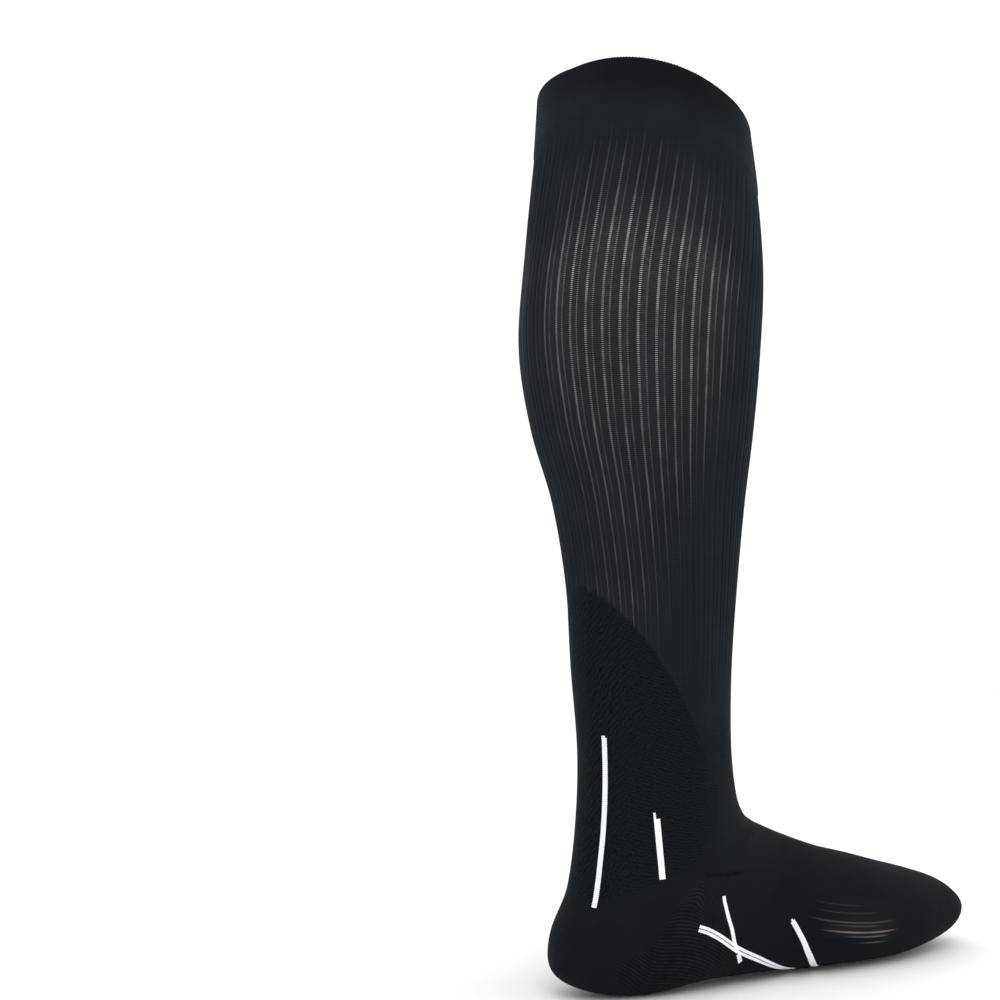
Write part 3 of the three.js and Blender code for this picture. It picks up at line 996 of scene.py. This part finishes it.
class STOCKING_OT_leg(bpy.types.Operator):
    """Knit the ribbed leg down to the ankle"""

    bl_idname = "stocking.leg"
    bl_label = "Leg"

    ROWS = 116
    RIBS_SET_IN = 0.35  # over how many places under the welt

    def execute(self, context):
        job = Knitting(context.scene, "leg")
        phase, main, second, crown = columns(RIB_PROFILE)
        shares = ((np.arange(RIB_COUNT)[:, None] + RIB_START + phase) / RIB_COUNT).ravel()
        rows = job.rows(self.ROWS)
        tube = Wall(job.form, rows, shares, inner_every=8, turn=rib_turn(rows))
        place, height = rows[:, None], height_of(tube.point)
        pad = pad_strength(place, tube.at, height)
        sizes = job.sizes
        relief = crown * sizes.crown_height - main * sizes.groove_depth - second * sizes.second_depth
        ribbed = smooth(place, job.start, job.start + self.RIBS_SET_IN)
        ribbed = ribbed * (1 - smooth(place, PLACE["shank"], job.end))
        tube.relief = np.tile(relief, RIB_COUNT) * ribbed * (1 - pad) + pad * sizes.pad_height
        tube.strengths["sheer"] = sheer_strength(place, tube.at, height) * (1 - pad)
        tube.strengths["pad"] = pad
        tube.fade_between(PLACE["low shank"], job.end)
        material = KnitShader("leg knit", job.yarn, job.yarn.leg, job.yarn.heel).pad().sheer().finish()
        job.finish(tube, material, "rib_knit")
        return {"FINISHED"}


class STOCKING_OT_heel(bpy.types.Operator):
    """Knit the heel with the lower end of the pad and its white strokes"""

    bl_idname = "stocking.heel"
    bl_label = "Heel"

    ROWS = 120

    def execute(self, context):
        job = Knitting(context.scene, "heel")
        tube = Wall(job.form, job.rows(self.ROWS), even_shares(COLUMN_COUNT))
        pad = pad_strength(tube.places[:, None], tube.shares, height_of(tube.point))
        creases, tube.strengths["crease"] = crease_relief(job.form, tube.point)
        tube.relief = pad * job.sizes.pad_height + creases
        tube.strengths["pad"] = pad
        tube.fade_between(PLACE["heel back"], job.end)
        tube.strengths["turn"], tube.strengths["fan"] = heel_turn(tube.point, pad)
        shader = KnitShader("heel knit", job.yarn, job.yarn.heel, job.yarn.plain)
        job.finish(tube, shader.pad().turn().creases().finish(), "dense_knit", strokes=True)
        return {"FINISHED"}


class STOCKING_OT_foot(bpy.types.Operator):
    """Knit the foot and its white strokes"""

    bl_idname = "stocking.foot"
    bl_label = "Foot"

    ROWS = 90

    def execute(self, context):
        job = Knitting(context.scene, "foot")
        tube = Wall(job.form, job.rows(self.ROWS), even_shares(COLUMN_COUNT))
        tube.relief, tube.strengths["crease"] = crease_relief(job.form, tube.point)
        tube.fade_between(PLACE["waist"], job.end)
        past_lowest = tube.places[:, None] - BALL_PLACE
        side = np.where(tube.shares > 0.5, 1.0, INNER_SIDE)
        tube.strengths["sheer"] = forefoot_sheer(tube) * side
        tube.strengths["arc"] = from_back(tube.shares) - BALL_BEND * past_lowest**2
        tube.strengths["side"] = np.broadcast_to(side, tube.relief.shape)
        shader = KnitShader("foot knit", job.yarn, job.yarn.plain, job.yarn.toe)
        material = shader.ball(job.form).creases().finish(sheen=0.6)
        job.finish(tube, material, "plain_knit", strokes=True)
        return {"FINISHED"}


def forefoot_sheer(tube):
    """Where the knit thins over the ball of the foot."""
    place, side = tube.places[:, None], from_back(tube.shares)
    setting_in, ending = GLOW_ALONG
    inner_edge, weakening, outer_edge = GLOW_ACROSS
    along = smooth(place, *setting_in) * (1 - smooth(place, *ending))
    across = smooth(side, *inner_edge) * (1 - GLOW_LOSS * smooth(side, *weakening))
    return along * across * (1 - smooth(side, *outer_edge))


def heel_turn(point, pad):
    """How much the courses that fan out over the heel's sides show, and each point's number among them."""
    height = height_of(point)
    behind = point[..., 1] / MM + WELT_CENTRE[1]
    at_height, *rest = columns(FAN)
    first, last, middle, bend = (np.interp(height, at_height, column) for column in rest)
    start, slope, softness = FAN_CURL
    past = behind - start
    curl = slope * (past + np.hypot(past, softness)) / 2
    shown = smooth(behind - first, *FAN_FADES["front"]) * smooth(last - behind, *FAN_FADES["back"])
    shown = shown * smooth(height, *FAN_FADES["sole"]) * (1 - smooth(height, *FAN_FADES["top"]))
    return shown * (1 - pad), (height + bend * (behind - middle) ** 2 - curl) / FAN_PITCH


class STOCKING_OT_toe(bpy.types.Operator):
    """Knit the closed toe, with its linked seam"""

    bl_idname = "stocking.toe"
    bl_label = "Toe"

    ROWS = 60
    CROWDING = 1.25  # how much closer the rows lie towards the tip
    SEAM_PLACE = 19.3
    SEAM_SPREAD = 0.045
    SEAM_HEIGHT = 0.3 * MM
    SEAM_ENDS = (0.27, 0.2)  # how far round from the top it is gone and full

    def execute(self, context):
        job = Knitting(context.scene, "toe")
        near_tip = TIP - (TIP - job.start) * (1 - np.linspace(0, 1, self.ROWS + 1)) ** self.CROWDING
        places = np.minimum(near_tip, LAST_TOE_ROW)[:-1]
        tube = Wall(job.form, places, even_shares(COLUMN_COUNT))
        tube.relief, tube.strengths["crease"] = crease_relief(job.form, tube.point)
        over_top = smooth(from_back(tube.shares + 0.5), *self.SEAM_ENDS)
        seam = np.exp(-(((tube.places - self.SEAM_PLACE) / self.SEAM_SPREAD) ** 2))
        tube.relief += self.SEAM_HEIGHT * seam[:, None] * over_top
        shader = KnitShader("toe knit", job.yarn, job.yarn.toe, job.yarn.toe)
        job.finish(tube, shader.creases().finish(sheen=0.4), "dense_knit", closed=True)
        return {"FINISHED"}


def stitch_line(form, path, pitch):
    """Evenly spaced stitches along a path on the form: their places, shares, and the way along the path."""
    places, shares = walk(path, PATH_STEPS)
    spots = form.points(places, shares[:, None])[:, 0]
    reached = np.concatenate([[0], np.cumsum(np.linalg.norm(np.diff(spots, axis=0), axis=1))])
    count = max(2, round(reached[-1] / pitch))
    at = (np.arange(count) + 0.5) * reached[-1] / count
    ahead, behind = (
        np.stack([np.interp(at + half, reached, spots[:, axis]) for axis in range(3)], -1)
        for half in (pitch / 2, -pitch / 2)
    )
    return np.interp(at, reached, places), np.interp(at, reached, shares), unit(ahead - behind)


def shifted(form, places, shares, offset):
    """Places and shares that lie a small offset away over the form, given as vectors."""
    here, further, beside = (
        form.points(places + place_step, (shares + share_step)[:, None])[:, 0]
        for place_step, share_step in ((0, 0), (SMALL_PLACE, 0), (0, SMALL_SHARE))
    )
    per_place = (further - here) / SMALL_PLACE
    per_share = (beside - here) / SMALL_SHARE
    aa, ab, bb = (per_place**2).sum(1), (per_place * per_share).sum(1), (per_share**2).sum(1)
    a, b = (offset * per_place).sum(1), (offset * per_share).sum(1)
    scale = aa * bb - ab**2
    return places + (a * bb - b * ab) / scale, shares + (b * aa - a * ab) / scale


def grain(segments=6):
    """One leg of a stitch: a closed grain of unit length along Y and unit width, as points and faces."""
    angle = 2 * np.pi * np.arange(segments) / segments
    ring = np.stack([np.cos(angle) / 2, np.zeros(segments), np.sin(angle) / 2], -1)
    shoulder, tip = np.array([[0, STITCH_SHOULDER, 0], [0, 0.5, 0]])
    points = np.concatenate([ring - shoulder, ring + shoulder, [-tip, tip]])
    faces = []
    for a in range(segments):
        b = (a + 1) % segments
        faces.append((a, b, segments + b, segments + a))
        faces.append((b, a, 2 * segments))
        faces.append((segments + a, segments + b, 2 * segments + 1))
    return points, faces


def stroke_columns(form, stroke, side, course_pitch):
    """Each column of a stroke's stitches: places and shares, and the way along the stroke at each stitch."""
    _, _, count, pitch, gap, _, leads, path = stroke
    turned = np.array(path) * [1, side] + [0, (1 - side) * MIRROR_SHARE]
    places, shares, ahead = stitch_line(form, turned, course_pitch)
    normal = form.frames(places, shares[:, None])[1][:, 0]
    across = np.cross(normal, ahead) * side
    for column in range(count):
        number = np.arange(-leads[column], len(places))
        stitch, sooner = np.maximum(number, 0), np.minimum(number, 0)
        column_places = places[stitch] + sooner * (places[1] - places[0])
        column_shares = shares[stitch] + sooner * (shares[1] - shares[0])
        middle = column - (count - 1) / 2
        out = (middle * pitch + np.sign(middle) * gap / 2) * MM
        yield shifted(form, column_places, column_shares, across[stitch] * out), ahead[stitch]


def stitch_points(job, at, ahead, side, pitch, splay, grain_points):
    """The points of a column's stitches, for the one and the other leg of each V."""
    point, normal = (part[:, 0] for part in job.form.frames(at[0], at[1][:, None])[:2])
    lift = pad_strength(*at, height_of(point)) * job.sizes.pad_height + STITCH_LIFT
    wide = unit(np.cross(normal, ahead)) * side
    for leg in (-1, 1):
        angle = math.radians(splay) * leg
        long_way = wide * math.sin(angle) - ahead * math.cos(angle)
        width = np.cross(long_way, normal) * (STITCH_WIDTH * pitch * MM)
        length = long_way * (STITCH_LENGTH * job.sizes.course_pitch)
        centre = point + normal * lift[:, None] + wide * (leg * pitch * MM / 4)
        yield centre[:, None] + grain_points @ np.stack([width, length, normal * STITCH_THICKNESS], 1)


def knit_strokes(job):
    """The white strokes on one zone: columns of V stitches, on both sides of the stocking."""
    grain_points, grain_faces = grain()
    placed = []
    for stroke in STROKES:
        _, owner, _, pitch, _, splay, _, _ = stroke
        if owner != job.node:
            continue
        for side in (1, -1):
            for at, ahead in stroke_columns(job.form, stroke, side, job.sizes.course_pitch):
                placed += stitch_points(job, at, ahead, side, pitch, splay, grain_points)
    stitches = np.concatenate(placed)
    faces = [
        tuple(start + corner for corner in face)
        for start in range(0, len(stitches) * len(grain_points), len(grain_points))
        for face in grain_faces
    ]
    mesh = bpy.data.meshes.new(job.node + "_strokes")
    mesh.from_pydata(stitches.reshape(-1, 3).tolist(), [], faces)
    mesh.polygons.foreach_set("use_smooth", np.ones(len(faces), bool))
    mesh.materials.append(bpy.data.materials.get("white yarn") or white_shader(job.yarn))
    strokes = bpy.data.objects.new(job.node + "_strokes", mesh)
    job.scene.collection.objects.link(strokes)
    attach(strokes, "root")
    return strokes


class STOCKING_OT_stage(bpy.types.Operator):
    """Set up the camera, the pale floor and the soft lights"""

    bl_idname = "stocking.stage"
    bl_label = "Studio"

    FLOOR_HALF = 6.0
    FLOOR_GAP = 0.5 * MM
    LIGHTS = (
        ("key", 0.9, (-1.3, 0.9, 0.9)),
        ("fill", 1.2, (-0.6, -1.5, 0.5)),
    )

    def execute(self, context):
        scene = context.scene
        studio = scene.studio_settings
        self.aim_camera(scene, studio)
        self.lay_floor(scene, studio.floor_tone)
        self.hang_lights(scene, studio)
        scene.view_settings.view_transform = "Standard"
        return {"FINISHED"}

    @staticmethod
    def aim_camera(scene, studio):
        turn, tilt = math.radians(studio.azimuth), math.radians(studio.elevation)
        ahead = Vector((-math.sin(turn) * math.cos(tilt), math.cos(turn) * math.cos(tilt), math.sin(tilt)))
        camera = bpy.data.objects.new("Camera", bpy.data.cameras.new("Camera"))
        camera.data.sensor_width = 36.0
        camera.data.lens = studio.lens
        camera.data.clip_start = 0.01
        camera.location = studio.camera_place
        camera.rotation_euler = ahead.to_track_quat("-Z", "Y").to_euler()
        scene.collection.objects.link(camera)
        scene.camera = camera

    def lay_floor(self, scene, tone):
        half = self.FLOOR_HALF
        level = CAD_BOX[0].z - self.FLOOR_GAP
        mesh = bpy.data.meshes.new("floor")
        corners = [(-half, -half, level), (half, -half, level), (half, half, level), (-half, half, level)]
        mesh.from_pydata(corners, [], [(0, 1, 2, 3)])
        shader = Shader("pale floor")
        shader.set(base_color=colour([tone] * 3), roughness=0.9, specular_IOR_level=0.1)
        mesh.materials.append(shader.material)
        floor = bpy.data.objects.new("floor", mesh)
        scene.collection.objects.link(floor)
        floor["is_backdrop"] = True

    def hang_lights(self, scene, studio):
        world = bpy.data.worlds.new("white surround")
        world.use_nodes = True
        surround = world.node_tree.nodes["Background"]
        surround.inputs["Color"].default_value = colour([1.0] * 3)
        surround.inputs["Strength"].default_value = studio.sky
        scene.world = world
        centre = (CAD_BOX[0] + CAD_BOX[1]) / 2
        for name, size, place in self.LIGHTS:
            light = bpy.data.lights.new(name, "AREA")
            light.energy = getattr(studio, name)
            light.size = size
            lamp = bpy.data.objects.new(name, light)
            lamp.location = place
            lamp.rotation_euler = (centre - lamp.location).to_track_quat("-Z", "Y").to_euler()
            scene.collection.objects.link(lamp)


class STOCKING_PT_panel(bpy.types.Panel):
    """Lists the pieces and their sizes"""

    bl_idname = "STOCKING_PT_panel"
    bl_label = "Stocking"
    bl_space_type = "VIEW_3D"
    bl_region_type = "UI"
    bl_category = "Stocking"

    def draw(self, context):
        layout = self.layout
        scene = context.scene
        for operator in OPERATORS:
            layout.operator(operator.bl_idname)
        for group in (scene.stocking_sizes, scene.yarn_looks, scene.studio_settings):
            box = layout.box()
            for name in group.bl_rna.properties.keys():
                if name not in ("rna_type", "name"):
                    box.prop(group, name)


OPERATORS = (
    STOCKING_OT_welt,
    STOCKING_OT_leg,
    STOCKING_OT_heel,
    STOCKING_OT_foot,
    STOCKING_OT_toe,
    STOCKING_OT_stage,
)
CLASSES = (StockingSizes, YarnLooks, StudioSettings, *OPERATORS, STOCKING_PT_panel)
GROUPS = {"stocking_sizes": StockingSizes, "yarn_looks": YarnLooks, "studio_settings": StudioSettings}


def register():
    for cls in CLASSES:
        bpy.utils.register_class(cls)
    for name, group in GROUPS.items():
        setattr(bpy.types.Scene, name, PointerProperty(type=group))


def unregister():
    for name in GROUPS:
        delattr(bpy.types.Scene, name)
    for cls in reversed(CLASSES):
        bpy.utils.unregister_class(cls)


def main():
    register()
    bpy.ops.stocking.welt()
    bpy.ops.stocking.leg()
    bpy.ops.stocking.heel()
    bpy.ops.stocking.foot()
    bpy.ops.stocking.toe()
    bpy.ops.stocking.stage()
    boxes = {"cad": CAD_BOX, "visual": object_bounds()}
    {name: [list(corner) for corner in box] for name, box in boxes.items()}


if __name__ == "__main__":
    main()
